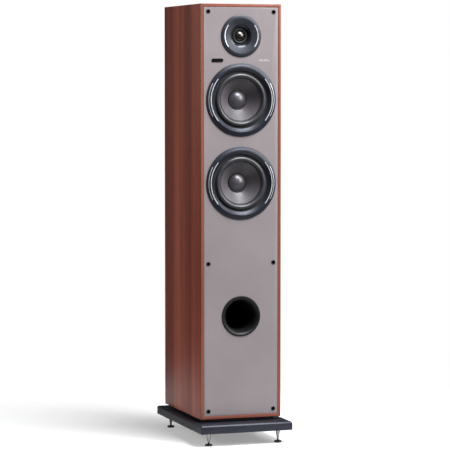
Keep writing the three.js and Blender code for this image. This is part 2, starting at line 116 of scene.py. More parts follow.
def addStudio():
    world = bpy.data.worlds.new("studioSky")
    world.use_nodes = True
    bpy.context.scene.world = world
    tree = world.node_tree
    background = tree.nodes["Background"]
    background.inputs["Color"].default_value = (1, 1, 1, 1)
    ray = tree.nodes.new("ShaderNodeLightPath")
    inGloss = tree.nodes.new("ShaderNodeMapRange")
    inGloss.inputs["To Min"].default_value = studio["skyForLight"]
    inGloss.inputs["To Max"].default_value = studio["skyForGloss"]
    inView = tree.nodes.new("ShaderNodeMapRange")
    inView.inputs["To Max"].default_value = 1.0
    tree.links.new(ray.outputs["Is Glossy Ray"], inGloss.inputs["Value"])
    tree.links.new(ray.outputs["Is Camera Ray"], inView.inputs["Value"])
    tree.links.new(inGloss.outputs["Result"], inView.inputs["To Min"])
    tree.links.new(inView.outputs["Result"], background.inputs["Strength"])
    for name, place, target, size, watts, colour in studio["lamps"]:
        bpy.ops.object.light_add(type="AREA", location=place, rotation=aim(place, target))
        lamp = bpy.context.object
        lamp.name = name
        lamp.data.size = size
        lamp.data.energy = watts
        lamp.data.color = colour
    bpy.ops.mesh.primitive_plane_add(size=24, location=(0, 0, 0))
    floor = bpy.context.object
    floor.name = "studioFloor"
    finish = Finish("paleFloor", Base_Color=studio["floorShade"], Roughness=0.9)
    x, y, z = finish.parts()
    start, end = studio["floorClear"]
    finish.feed("Alpha", finish.between((x * x + y * y) ** 0.5, start, end, studio["floorStrength"], 0.0))
    floor.data.materials.append(finish.material)
    bpy.context.scene.view_settings.view_transform = "Standard"


class Wire:  # a socket's output, so that sums on it read as plain sums
    def __init__(self, finish, socket):
        self.finish, self.socket = finish, socket

    def sum(self, operation, *values):
        return self.finish.node("ShaderNodeMath", {"operation": operation}, dict(enumerate(values)))

    def __add__(self, other):
        return self.sum("ADD", self, other)

    def __sub__(self, other):
        return self.sum("SUBTRACT", self, other)

    def __rsub__(self, other):
        return self.sum("SUBTRACT", other, self)

    def __mul__(self, other):
        return self.sum("MULTIPLY", self, other)

    def __truediv__(self, other):
        return self.sum("DIVIDE", self, other)

    def __pow__(self, other):
        return self.sum("POWER", self, other)

    def __gt__(self, other):
        return self.sum("GREATER_THAN", self, other)

    def __lt__(self, other):
        return self.sum("LESS_THAN", self, other)

    def __abs__(self):
        return self.sum("ABSOLUTE", self)

    __radd__ = __add__
    __rmul__ = __mul__


def paint(red, green, blue):  # an sRGB colour, made linear
    def linear(part):
        return part / 255 / 12.92 if part < 10.3 else ((part / 255 + 0.055) / 1.055) ** 2.4

    return (linear(red), linear(green), linear(blue), 1)


class Finish:  # a material, and the calls that add its nodes
    def __init__(self, name, **fixed):
        self.material = bpy.data.materials.new(name)
        self.material.use_nodes = True
        self.tree = self.material.node_tree
        self.shader = self.tree.nodes["Principled BSDF"]
        for socket, value in fixed.items():
            self.shader.inputs[socket.replace("_", " ")].default_value = value
        self.place = self.node("ShaderNodeTexCoord", output="Object")

    def node(self, kind, settings=None, values=None, output=0):
        made = self.tree.nodes.new(kind)
        for key, value in (settings or {}).items():
            if key == "stops":
                ramp = made.color_ramp.elements
                for _ in value[2:]:
                    ramp.new(0.5)
                for stop, (position, colour) in zip(ramp, value):
                    stop.position, stop.color = position, colour
            else:
                setattr(made, key, value)
        for key, value in (values or {}).items():
            if isinstance(value, Wire):
                self.tree.links.new(value.socket, made.inputs[key])
            else:
                made.inputs[key].default_value = value
        return Wire(self, made.outputs[output])

    def noise(self, scale, detail=3, stretch=(1, 1, 1), distortion=0.0):
        spot = self.node("ShaderNodeMapping", None, {"Vector": self.place, "Scale": stretch})
        settings = {"Vector": spot, "Scale": scale, "Detail": detail, "Distortion": distortion}
        return self.node("ShaderNodeTexNoise", None, settings)

    def parts(self, centre=(0, 0, 0)):  # the three coordinates, counted from a centre
        spot = self.node("ShaderNodeVectorMath", {"operation": "SUBTRACT"}, {0: self.place, 1: centre})
        return [self.node("ShaderNodeSeparateXYZ", None, {0: spot}, axis) for axis in "XYZ"]

    def between(self, value, low, high, toLow=0.0, toHigh=1.0):
        numbers = {"Value": value, "From Min": low, "From Max": high, "To Min": toLow, "To Max": toHigh}
        return self.node("ShaderNodeMapRange", None, numbers)

    def mix(self, factor, first, second):
        return self.node("ShaderNodeMix", {"data_type": "RGBA"}, {0: factor, 6: first, 7: second}, 2)

    def feed(self, socket, wire):
        self.tree.links.new(wire.socket, self.shader.inputs[socket])

    def bump(self, height, strength, distance):
        settings = {"Height": height, "Strength": strength, "Distance": distance}
        self.feed("Normal", self.node("ShaderNodeBump", None, settings))


noiseSpan = (0.3, 0.7)  # nearly all of a noise's values lie in this


def mottled(name, dark, light, scale, rough, bumps=None, stretch=(1, 1, 1), **fixed):
    # an even finish with the cloudiness, the uneven gloss and the fine texture of a real one
    finish = Finish(name, **fixed)
    cloud = finish.noise(scale, 4, stretch)
    finish.feed("Base Color", finish.mix(finish.between(cloud, *noiseSpan), paint(*dark), paint(*light)))
    finish.feed("Roughness", finish.between(finish.noise(scale * 2.3, 3, stretch), *noiseSpan, *rough))
    if bumps:
        grain, strength, depth = bumps
        finish.bump(finish.noise(grain, 2, stretch), strength, depth)
    return finish.material


blueTint = (0.84, 0.88, 1.0, 1)  # of the gloss on the black mouldings
veneerLook = {
    "deep": (84, 32, 22),
    "middle": (121, 56, 42),
    "bright": (154, 82, 62),
    "tones": ((0.36, "deep"), (0.49, "middle"), (0.62, "bright")),  # where in the grain each shade lies
    # painted light: the lip colours are the same wood painted lighter, standing in for the front lamps
    # falling on the front edge
    "lip": (152, 88, 70),
    "litLipDark": (118, 62, 48),
    "lipDepth": 1.2,
    "mitre": (74, 30, 22),
    "mitreEdges": (0.9, 0.2),
    "pores": (46, 20, 15),
    "poreEdges": (0.36, 0.30),
    "poreStrength": 0.55,
    "shares": (0.55, 0.3, 0.15),  # of the wide figure, the streaks and the fibres in the tone
    "bandShare": 0.18,
    "bandWander": 0.05,
    "rough": (0.42, 0.30),
    "coat": (0.14, 0.24),
    # the broad bands that run the length of the cabinet: millimetres behind the front edge, and lightness
    "bands": [
        (0, 0.0), (4, 0.05), (8, 0.4), (12, 0.6), (36, 0.8), (61, 0.84), (85, 0.38), (109, 0.4),
        (134, 0.7), (158, 0.75), (182, 1.0), (207, 0.95), (231, 0.33), (262, 0.4), (276, 0.25), (284, 0.0),
    ],
}


def makeVeneer(name, wrapped=True):
    look = veneerLook
    finish = Finish(name, Coat_Roughness=0.22, Specular_IOR_Level=0.36)
    x, y, z = finish.parts()
    upright = (1, 1, 0.035)
    lying = (0.035, 1, 1)

    def grain(stretch):
        figure = finish.noise(34, 3, stretch, 0.4)
        streaks = finish.noise(150, 4, stretch, 0.2)
        fibres = finish.noise(900, 2, stretch)
        figureShare, streakShare, fibreShare = look["shares"]
        return figure * figureShare + streaks * streakShare + fibres * fibreShare, fibres

    tone, fibres = grain(upright)
    if wrapped:  # the grain runs on over the top and under the bottom
        fromSide = cabinetHigh.x - abs(x)
        lyingPart = (fromSide > (cabinetHigh.z - z)) + (fromSide > (z - cabinetLow.z))
        toneLying, fibresLying = grain(lying)
        tone = tone * (1 - lyingPart) + toneLying * lyingPart
        fibres = fibres * (1 - lyingPart) + fibresLying * lyingPart
        depth = cabinetHigh.y - cabinetLow.y
        bands = [(far * mm / depth, (light, light, light, 1)) for far, light in look["bands"]]
        across = (y - cabinetLow.y) / depth + (finish.noise(3, 2, upright) - 0.5) * look["bandWander"]
        lightness = finish.node("ShaderNodeValToRGB", {"stops": bands}, {0: across})
        tone = tone * 0.5 + lightness * look["bandShare"] + 0.15
    stops = [(at, paint(*look[key])) for at, key in look["tones"]]
    colour = finish.node("ShaderNodeValToRGB", {"stops": stops}, {0: tone})
    if wrapped:  # painted light: the front edges are painted a lighter tone of the same wood, as if lit by the front lamps, with a dark mitre at each corner
        front = y < (cabinetLow.y + look["lipDepth"] * mm)
        fromEnd = z.sum("MINIMUM", cabinetHigh.z - z, z - cabinetLow.z)
        mitre = finish.between(abs(fromSide - fromEnd), *(edge * mm for edge in look["mitreEdges"]))
        litLipTone = finish.mix(finish.between(tone, 0.35, 0.65), paint(*look["litLipDark"]), paint(*look["lip"]))
        colour = finish.mix(front, colour, finish.mix(mitre * 0.55, litLipTone, paint(*look["mitre"])))
    pores = finish.between(fibres, *look["poreEdges"])
    colour = finish.mix(pores * look["poreStrength"], colour, paint(*look["pores"]))
    finish.feed("Base Color", colour)
    finish.feed("Roughness", finish.between(tone, *noiseSpan, *look["rough"]))
    finish.feed("Coat Weight", finish.between(finish.noise(9), *noiseSpan, *look["coat"]))
    finish.bump(fibres, 0.12, 0.0002)
    return finish.material


baffleLook = {"dark": (120, 112, 114), "light": (129, 121, 123), "rough": (0.42, 0.58), "fleck": 1400}


def makeBafflePaint():
    finish = Finish("bafflePaint", Specular_IOR_Level=0.45)
    cloud = finish.noise(7, 3)
    fleck = finish.noise(baffleLook["fleck"], 2)
    shade = finish.between(cloud * 0.7 + fleck * 0.3, 0.35, 0.65)
    finish.feed("Base Color", finish.mix(shade, paint(*baffleLook["dark"]), paint(*baffleLook["light"])))
    finish.feed("Roughness", finish.between(fleck, *noiseSpan, *baffleLook["rough"]))
    finish.bump(finish.noise(1900, 2), 0.25, 0.0003)
    return finish.material


ashLook = {
    "dark": (22, 23, 31), "light": (34, 35, 45), "pores": (16, 15, 17), "poreEdges": (0.40, 0.33),
    "rough": (0.38, 0.52), "coat": (0.04, 0.12),
}


def makeBlackAsh():
    finish = Finish("blackAsh", Specular_IOR_Level=0.36, Coat_Roughness=0.25, Specular_Tint=blueTint)
    along = (1, 0.05, 1)
    grain = finish.noise(260, 4, along, 0.3)
    pores = finish.between(finish.noise(620, 2, along), *ashLook["poreEdges"])
    shade = finish.between(grain, 0.35, 0.65)
    tone = finish.mix(shade, paint(*ashLook["dark"]), paint(*ashLook["light"]))
    finish.feed("Base Color", finish.mix(pores * 0.6, tone, paint(*ashLook["pores"])))
    finish.feed("Roughness", finish.between(grain, *noiseSpan, *ashLook["rough"]))
    finish.feed("Coat Weight", finish.between(finish.noise(12), *noiseSpan, *ashLook["coat"]))
    finish.bump(grain - pores, 0.2, 0.0003)
    return finish.material


weaveLook = {
    "dark": (72, 67, 71), "light": (92, 87, 92), "cord": 1.6, "rough": (0.32, 0.46), "coat": (0.15, 0.25),
}


def makeConeWeave(centre):
    # woven fibre under a thin lacquer, with the cords crossing at right angles
    finish = Finish("coneWeave" + centre[0], Coat_Roughness=0.2, Specular_IOR_Level=0.5)
    x, y, z = finish.parts(centre[1])
    pitch = 2 * math.pi / (weaveLook["cord"] * mm)
    across = finish.node("ShaderNodeMath", {"operation": "SINE"}, {0: (x + z) * pitch})
    along = finish.node("ShaderNodeMath", {"operation": "SINE"}, {0: (x - z) * pitch})
    weave = across * along
    tone = finish.between(weave, -1, 1) * 0.5 + finish.noise(60) * 0.5
    shade = finish.between(tone, 0.25, 0.75)
    finish.feed("Base Color", finish.mix(shade, paint(*weaveLook["dark"]), paint(*weaveLook["light"])))
    finish.feed("Roughness", finish.between(tone, 0.2, 0.8, *weaveLook["rough"]))
    finish.feed("Coat Weight", finish.between(finish.noise(25), *noiseSpan, *weaveLook["coat"]))
    finish.bump(weave, 0.25, 0.00012)
    return finish.material


def makeZoned(name, centre, edge, inner, outer, grain, **fixed):
    # two finishes on one round piece, which change over at a radius in the plane of the front
    finish = Finish(name, **fixed)
    x, y, z = finish.parts(centre)
    out = finish.between((x * x + z * z) ** 0.5, edge * mm, (edge + 1.5) * mm)
    cloud = finish.between(finish.noise(50, 4), *noiseSpan)
    colours = [finish.mix(cloud, paint(*zone["dark"]), paint(*zone["light"])) for zone in (inner, outer)]
    roughs = [finish.between(cloud, 0, 1, *zone["rough"]) for zone in (inner, outer)]
    finish.feed("Base Color", finish.mix(out, *colours))
    finish.feed("Roughness", roughs[0] * (1 - out) + roughs[1] * out)
    finish.bump(finish.noise(grain, 2), 0.04, 0.00015)
    return finish.material


def makeTurnedMetal(name, centre, dark, light, metallic, rough):
    # fine rings left by the lathe round a centre, in the plane of the front
    finish = Finish(name, Metallic=metallic)
    x, y, z = finish.parts(centre)
    radius = (x * x + z * z) ** 0.5
    settings = {"W": radius * 9000, "Scale": 1.0, "Detail": 2}
    rings = finish.node("ShaderNodeTexNoise", {"noise_dimensions": "1D"}, settings)
    finish.feed("Base Color", finish.mix(finish.between(rings, *noiseSpan), paint(*dark), paint(*light)))
    finish.feed("Roughness", finish.between(rings, *noiseSpan, *rough))
    finish.bump(rings, 0.02, 0.00005)
    return finish.material


print("camera and studio")
addCamera()
addStudio()

looks = {
    "cabinet": makeVeneer("cabinetVeneer"),
    "rear": makeVeneer("rearVeneer", wrapped=False),
    "baffle": makeBafflePaint(),
    "blackAsh": makeBlackAsh(),
    "moulding": mottled(
        "mouldedRing", (28, 28, 36), (35, 36, 45), 40, (0.33, 0.41), (1500, 0.05, 0.0001),
        Specular_IOR_Level=0.42, Specular_Tint=blueTint,
    ),
    "silver": mottled(
        "silverInlay", (184, 186, 192), (208, 210, 214), 120, (0.38, 0.5), (900, 0.05, 0.0001),
        Metallic=0.5,
    ),
    "softRoll": mottled(
        "tweeterRoll", (7, 7, 8), (12, 12, 13), 90, (0.5, 0.62), (1500, 0.1, 0.0001),
    ),
    "glue": mottled("glueBead", (12, 12, 13), (22, 21, 22), 150, (0.25, 0.4)),
    "port": mottled(
        "portMoulding", (13, 13, 15), (20, 20, 22), 40, (0.38, 0.5), (1600, 0.06, 0.0001),
        Specular_IOR_Level=0.28,
    ),
    "socket": mottled(
        "socketRubber", (16, 16, 17), (26, 26, 27), 200, (0.45, 0.6), (2500, 0.1, 0.0001),
    ),
    "badge": mottled("badgeGloss", (10, 10, 11), (18, 18, 20), 90, (0.12, 0.2), Coat_Weight=0.4),
    "print": mottled("palePrint", (186, 184, 187), (202, 200, 203), 300, (0.4, 0.55)),
    "chrome": mottled(
        "footChrome", (128, 126, 126), (158, 156, 156), 60, (0.10, 0.18), (400, 0.02, 0.0001),
        Metallic=1.0,
    ),
    "padBlack": mottled(
        "padBlack", (22, 22, 24), (32, 32, 34), 150, (0.3, 0.42), (2200, 0.08, 0.0001),
        Specular_IOR_Level=0.6,
    ),
    "cup": mottled(
        "cupMoulding", (18, 18, 20), (27, 27, 29), 60, (0.42, 0.56), (1500, 0.25, 0.0002),
    ),
    "gilt": mottled(
        "giltPlating", (196, 152, 66), (222, 180, 92), 200, (0.14, 0.26), (1500, 0.03, 0.0001),
        Metallic=1.0,
    ),
    "capRed": mottled(
        "capRed", (142, 16, 14), (168, 26, 20), 160, (0.22, 0.34), (1800, 0.06, 0.0001),
    ),
    "capBlack": mottled(
        "capBlack", (16, 16, 17), (26, 26, 28), 160, (0.22, 0.34), (1800, 0.06, 0.0001),
    ),
    "screw": mottled(
        "screwBlack", (26, 26, 28), (40, 40, 43), 300, (0.3, 0.45), (2500, 0.1, 0.0001),
        Metallic=0.6,
    ),
    "board": mottled(
        "bareBoard", (142, 112, 80), (168, 138, 100), 90, (0.8, 0.95), (900, 0.3, 0.0004),
    ),
    "frameBlack": mottled(
        "castFrame", (26, 26, 28), (36, 36, 38), 60, (0.45, 0.6), (1200, 0.3, 0.0003),
    ),
    "cloth": mottled(
        "spiderCloth", (150, 104, 50), (184, 138, 78), 200, (0.8, 0.95), (1600, 0.5, 0.0003),
    ),
    "steel": mottled(
        "platedSteel", (132, 134, 138), (168, 170, 172), 70, (0.3, 0.45), (500, 0.05, 0.0001),
        Metallic=1.0,
    ),
    "ferrite": mottled(
        "ferriteBlock", (38, 38, 40), (56, 56, 58), 120, (0.6, 0.8), (700, 0.3, 0.0003),
    ),
    "copper": mottled(
        "copperWire", (168, 92, 46), (206, 128, 76), 300, (0.25, 0.4), (1800, 0.4, 0.0002), (1, 4, 1),
        Metallic=1.0,
    ),
    "circuit": mottled(
        "circuitBoard", (30, 74, 46), (42, 92, 58), 150, (0.4, 0.55), (1200, 0.1, 0.0002),
    ),
}


def deselectAll():
    bpy.ops.object.select_all(action="DESELECT")


def active(piece):
    deselectAll()
    piece.select_set(True)
    bpy.context.view_layer.objects.active = piece


def applied(piece, kind, **settings):  # adds a modifier, sets it and applies it
    active(piece)
    modifier = piece.modifiers.new(kind, kind)
    for key, value in settings.items():
        setattr(modifier, key, value)
    bpy.ops.object.modifier_apply(modifier=modifier.name)


def settled(piece):  # the object at the origin, with its place in its mesh
    active(piece)
    bpy.ops.object.transform_apply(location=True, rotation=True, scale=True)


def faceOut(piece):  # a closed shell whose faces all look inwards is turned round
    piece.data.calc_loop_triangles()
    points = piece.data.vertices
    volume = 0
    for triangle in piece.data.loop_triangles:
        a, b, c = (points[v].co for v in triangle.vertices)
        volume += a.dot(b.cross(c))
    if volume < 0:
        active(piece)
        bpy.ops.object.mode_set(mode="EDIT")
        bpy.ops.mesh.select_all(action="SELECT")
        bpy.ops.mesh.flip_normals()
        bpy.ops.object.mode_set(mode="OBJECT")


def smoothed(piece, degrees=30):
    active(piece)
    bpy.ops.object.shade_smooth_by_angle(angle=math.radians(degrees))


def dressed(piece, body, look, slotName, *nodes):
    piece.data.materials.clear()
    piece.data.materials.append(looks[look] if isinstance(look, str) else look)
    if body:
        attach(piece, body)
    if nodes:
        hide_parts(*nodes)
    return piece


def arc(centre, size, start, end, count):
    # points [radius, depth] along part of an ellipse; 0 degrees is outwards and 90 is towards the front
    angles = [math.radians(start + (end - start) * i / count) for i in range(count + 1)]
    return [(centre[0] + size[0] * math.cos(a), centre[1] - size[1] * math.sin(a)) for a in angles]


def turned(name, outline, centre, steps=96, axis="Y", start=0.0, sweep=360.0):
    # an outline of (radius, distance along the axis) in millimetres, drawn by extruding one point and spun
    deselectAll()
    bpy.ops.mesh.primitive_plane_add(size=0.01, location=(0, 0, 0))
    piece = bpy.context.object
    piece.name = piece.data.name = name
    turn = math.radians(start)
    if axis == "Y":
        points = [Vector((r * math.cos(turn), d, r * math.sin(turn))) * mm + centre for r, d in outline]
        spindle = (0, 1, 0)
    else:
        points = [Vector((r * math.cos(turn), r * math.sin(turn), d)) * mm + centre for r, d in outline]
        spindle = (0, 0, 1)
    bpy.ops.object.mode_set(mode="EDIT")
    bpy.ops.mesh.select_mode(type="VERT")
    bpy.ops.mesh.select_all(action="SELECT")
    bpy.ops.mesh.merge(type="CENTER")
    bpy.ops.transform.translate(value=points[0])
    for before, after in zip(points, points[1:]):
        bpy.ops.mesh.extrude_region_move(TRANSFORM_OT_translate={"value": after - before})
    bpy.ops.mesh.select_all(action="SELECT")
    bpy.ops.mesh.remove_doubles(threshold=1e-6)
    full = sweep >= 360
    spun = steps if full else max(4, round(steps * sweep / 360))
    bpy.ops.mesh.spin(steps=spun, angle=math.radians(sweep), center=centre, axis=spindle)
    bpy.ops.mesh.select_all(action="SELECT")
    bpy.ops.mesh.remove_doubles(threshold=1e-6)
    if not full:
        bpy.ops.mesh.select_all(action="DESELECT")
        bpy.ops.mesh.select_non_manifold()
        bpy.ops.mesh.fill_holes(sides=0)
        bpy.ops.mesh.select_all(action="SELECT")
    bpy.ops.mesh.normals_make_consistent(inside=False)
    bpy.ops.object.mode_set(mode="OBJECT")
    faceOut(piece)
    smoothed(piece)
    return piece


def block(name, low, high):
    deselectAll()
    low, high = Vector(low), Vector(high)
    bpy.ops.mesh.primitive_cube_add(size=1, location=(low + high) / 2, scale=high - low)
    piece = bpy.context.object
    piece.name = piece.data.name = name
    settled(piece)
    return piece


def pickEdges(piece, test):  # leaves edit mode with only the edges whose two ends pass the test
    active(piece)
    bpy.ops.object.mode_set(mode="EDIT")
    bpy.ops.mesh.select_mode(type="EDGE")
    bpy.ops.mesh.select_all(action="DESELECT")
    bpy.ops.object.mode_set(mode="OBJECT")
    points = piece.data.vertices
    for edge in piece.data.edges:
        edge.select = test(points[edge.vertices[0]].co, points[edge.vertices[1]].co)
    bpy.ops.object.mode_set(mode="EDIT")


def pickFaces(piece, test):
    active(piece)
    bpy.ops.object.mode_set(mode="EDIT")
    bpy.ops.mesh.select_mode(type="FACE")
    bpy.ops.mesh.select_all(action="DESELECT")
    bpy.ops.object.mode_set(mode="OBJECT")
    for face in piece.data.polygons:
        face.select = test(face)
    bpy.ops.object.mode_set(mode="EDIT")


def roundedBlock(name, low, high, radius, axis="Y", segments=6):  # its edges along one axis are rounded
    piece = block(name, low, high)
    across = {"X": (1, 2), "Y": (0, 2), "Z": (0, 1)}[axis]
    pickEdges(piece, lambda a, b: all(abs(a[i] - b[i]) < 1e-7 for i in across))
    bpy.ops.mesh.bevel(offset=radius, segments=segments, affect="EDGES")
    bpy.ops.object.mode_set(mode="OBJECT")
    return piece


def combined(piece, tool, operation):
    applied(piece, "BOOLEAN", object=tool, operation=operation, solver="EXACT")
    bpy.data.objects.remove(tool)
    bpy.ops.object.mode_set(mode="EDIT")
    bpy.ops.mesh.select_all(action="SELECT")
    bpy.ops.mesh.remove_doubles(threshold=4e-6)
    bpy.ops.mesh.dissolve_degenerate(threshold=4e-6)
    bpy.ops.object.mode_set(mode="OBJECT")


def copied(piece, name, move):  # a copy with its own mesh
    twin = piece.copy()
    twin.data = piece.data.copy()
    twin.name = twin.data.name = name
    bpy.context.collection.objects.link(twin)
    twin.location = move
    settled(twin)
    return twin


shell = {"lip": 7.5, "wall": 15, "frontPocket": 18.8, "rearPocket": 16.3, "edge": 0.9}


def makeCabinet():
    piece = block("cabinetShell", cabinetLow, cabinetHigh)
    for facing, depth in ((-1, shell["frontPocket"]), (1, shell["rearPocket"])):
        pickFaces(piece, lambda face: face.normal.y * facing > 0.9)
        bpy.ops.mesh.inset(thickness=shell["lip"] * mm)
        bpy.ops.mesh.extrude_region_move(TRANSFORM_OT_translate={"value": (0, -facing * depth * mm, 0)})
        bpy.ops.mesh.inset(thickness=(shell["wall"] - shell["lip"]) * mm)
        bpy.ops.object.mode_set(mode="OBJECT")
    inner = (cabinetHigh.x - cabinetLow.x) / 2 - shell["wall"] * mm + 1e-5
    points = piece.data.vertices

    def innermost(face):
        return abs(face.normal.y) > 0.9 and max(abs(points[v].co.x) for v in face.vertices) < inner

    pickFaces(piece, innermost)
    bpy.ops.mesh.bridge_edge_loops()
    bpy.ops.object.mode_set(mode="OBJECT")
    reach = cabinetHigh.x - shell["lip"] * mm - 1e-5

    def outerEdge(a, b):
        ends = all(p.y < cabinetLow.y + 1e-5 or p.y > cabinetHigh.y - 1e-5 for p in (a, b))
        rim = abs(a.y - b.y) < 1e-5 and not (abs(abs(a.x) - abs(b.x)) > 1e-5 and abs(a.z - b.z) > 1e-5)
        long = abs(a.y - b.y) > 0.2 and min(abs(a.x), abs(b.x)) > reach
        return ends and (rim or long)

    pickEdges(piece, outerEdge)
    bpy.ops.mesh.bevel(offset=shell["edge"] * mm, segments=3, affect="EDGES")
    bpy.ops.mesh.select_all(action="SELECT")
    bpy.ops.mesh.normals_make_consistent(inside=False)
    bpy.ops.object.mode_set(mode="OBJECT")
    smoothed(piece, 40)
    panels = ("left_side_panel", "right_side_panel", "top_panel", "bottom_panel")
    dressed(piece, "cabinet", "cabinet", "veneer", *panels)


baffleHoles = {
    # centre node, through radius, rebate radius, rebate depth
    "tweeter_faceplate": (39, 51.25, 4.3),
    "upper_woofer_trim_ring": (74.5, 85, 7.2),
    "lower_woofer_trim_ring": (74.5, 85, 7.2),
    "port_tube": (44.5, 49.25, 3.3),
}


def makeBaffle():
    piece = block("baffleBoard", baffleLow, baffleHigh)
    pickEdges(piece, lambda a, b: max(a.y, b.y) < baffleFace + 1e-5)
    bpy.ops.mesh.bevel(offset=0.8 * mm, segments=3, affect="EDGES")
    bpy.ops.object.mode_set(mode="OBJECT")
    for node, (through, rebate, depth) in baffleHoles.items():
        outline = [(0, -5), (rebate, -5), (rebate, depth), (through, depth), (through, 30), (0, 30)]
        combined(piece, turned("holeCutter", outline, onBaffle(node), 128), "DIFFERENCE")
    for node in socketNodes:
        outline = [(0, -5), (socketCup["hole"], -5), (socketCup["hole"], 30), (0, 30)]
        combined(piece, turned("holeCutter", outline, onBaffle(node), 32), "DIFFERENCE")
    smoothed(piece)
    dressed(piece, "cabinet", "baffle", "baffle_paint", "front_baffle")


socketRows = ("top", "middle", "bottom")
socketNodes = [f"grille_socket_{row}_{side}" for row in socketRows for side in ("left", "right")]
socketCup = {"hole": 4.6, "rim": 5.5, "bore": 3.6, "proud": 0.9, "depth": 11}


def makeSockets():
    s = socketCup
    outline = (
        [(0, s["depth"]), (s["bore"], s["depth"]), (s["bore"], 0.2)]
        + arc((s["bore"] + 0.7, 0.0), (0.7, s["proud"]), 180, 90, 4)
        + arc((s["rim"] - 0.6, 0.0), (0.6, s["proud"]), 90, 0, 4)
        + [(s["rim"], -0.05), (4.3, -0.05), (4.3, 12.9), (0, 12.9)]
    )
    first = turned("grilleSocket", outline, onBaffle(socketNodes[0]), 48)
    for node in socketNodes[1:]:
        place = node.removeprefix("grille_socket_").title().replace("_", "")
        twin = copied(first, "grilleSocket" + place, onBaffle(node) - onBaffle(socketNodes[0]))
        dressed(twin, "cabinet", "socket", "socket_rubber", node)
    dressed(first, "cabinet", "socket", "socket_rubber", socketNodes[0])


portMouth = {"rim": 49, "mouth": 46.5, "bore": 35, "flare": 24, "proud": 2, "length": 150, "wall": 3}


def makePort():
    p = portMouth
    spread = p["mouth"] - p["bore"]
    outline = (
        arc((p["mouth"], p["flare"]), (spread, p["flare"] + p["proud"]), 90, 180, 28)
        + [(p["bore"], 60), (p["bore"], p["length"] - 1)]
        + arc((p["bore"] + p["wall"] / 2, p["length"] - 1), (p["wall"] / 2, -1), 180, 0, 8)
        + [(p["bore"] + p["wall"], p["flare"])]
        + arc((p["mouth"], p["flare"]), (spread - p["wall"], p["flare"] - 5), 170, 115, 8)
        + [(43.8, 3), (p["rim"], 3)]
        + arc((p["rim"] - 1.1, -p["proud"] + 1.1), (1.1, 1.1), 0, 90, 6)
    )
    outline.append(outline[0])
    piece = turned("reflexPort", outline, onBaffle("port_tube"), 128)
    dressed(piece, "cabinet", "port", "port_plastic", "port_tube")


badgePlate = {"rim": 0.5, "sunk": 0.25}
meterMark = {
    "heights": [3.2, 4.6, 5.6, 3.8, 5.0, 4.2, 5.6, 3.4, 2.6],
    "pitch": 3.4,
    "width": 1.1,
    "thick": (0.02, 0.12),
    "left": 44.9,
    "drop": 137.6,
}


def makeBadge():
    low, high = corner("badge_plate")
    piece = roundedBlock("badgePlate", low, high, (high.z - low.z) / 2 - 1e-5, "Y", 12)
    pickFaces(piece, lambda face: face.normal.y < -0.9)
    bpy.ops.mesh.inset(thickness=badgePlate["rim"] * mm)
    bpy.ops.mesh.extrude_region_move(TRANSFORM_OT_translate={"value": (0, badgePlate["sunk"] * mm, 0)})
    bpy.ops.object.mode_set(mode="OBJECT")
    smoothed(piece)
    dressed(piece, "cabinet", "badge", "badge_black", "badge_plate")
    m = meterMark
    bottom = cabinetHigh.z - m["drop"] * mm
    near, far = (baffleFace - proud * mm for proud in m["thick"])
    row = []
    for i, height in enumerate(m["heights"]):
        left = (m["left"] + i * m["pitch"]) * mm
        low, high = (left, far, bottom), (left + m["width"] * mm, near, bottom + height * mm)
        bar = roundedBlock("meterBar", low, high, 0.3 * mm, "Y", 3)
        row.append(bar)
    deselectAll()
    for bar in row:
        bar.select_set(True)
    bpy.context.view_layer.objects.active = row[0]
    bpy.ops.object.join()
    row[0].name = row[0].data.name = "meterMark"
    dressed(row[0], "cabinet", "print", "badge_black")


ring = {"outer": 88.5, "ridge": 78.1, "high": 5.6, "inner": 69.2, "inDeep": 2.8, "edge": 2.2}
inlays = {
    # middle radius, width, half angle, depth of its two edges
    "Outer": (83.3, 1.5, 28.5, (-4.17, -3.53)),
    "Inner": (77.9, 1.9, 40.0, (-5.5, -5.62)),
}
rollShape = {
    "middle": 58.6, "half": 5.6, "rise": 6.2, "base": 3.1, "thick": 1.0, "in": 50.4, "out": 72.6,
    # the radius beyond which the woofer roll is painted near black as painted shade
    "still": 64.4, "moving": 53.2, "glueFrom": 63.0,
}
coneShape = {"rim": 52.8, "start": 2.9, "neck": 13.2, "neckDeep": 36, "end": 39, "thick": 1.2, "bow": 2.2}
capShape = {"rim": 21.0, "deep": 27.2, "rise": 8.5, "thick": 1.0}


def domed(rim, deep, rise, thick, count):  # a shallow dome's outline, from its apex out to its rim and back
    sphere = (rim * rim + rise * rise) / (2 * rise)
    widest = math.asin(rim / sphere)

    def curve(radius):
        angles = [widest * i / count for i in range(count + 1)]
        return [(radius * math.sin(a), deep - rise + sphere - radius * math.cos(a)) for a in angles]

    return curve(sphere) + curve(sphere - thick)[::-1]


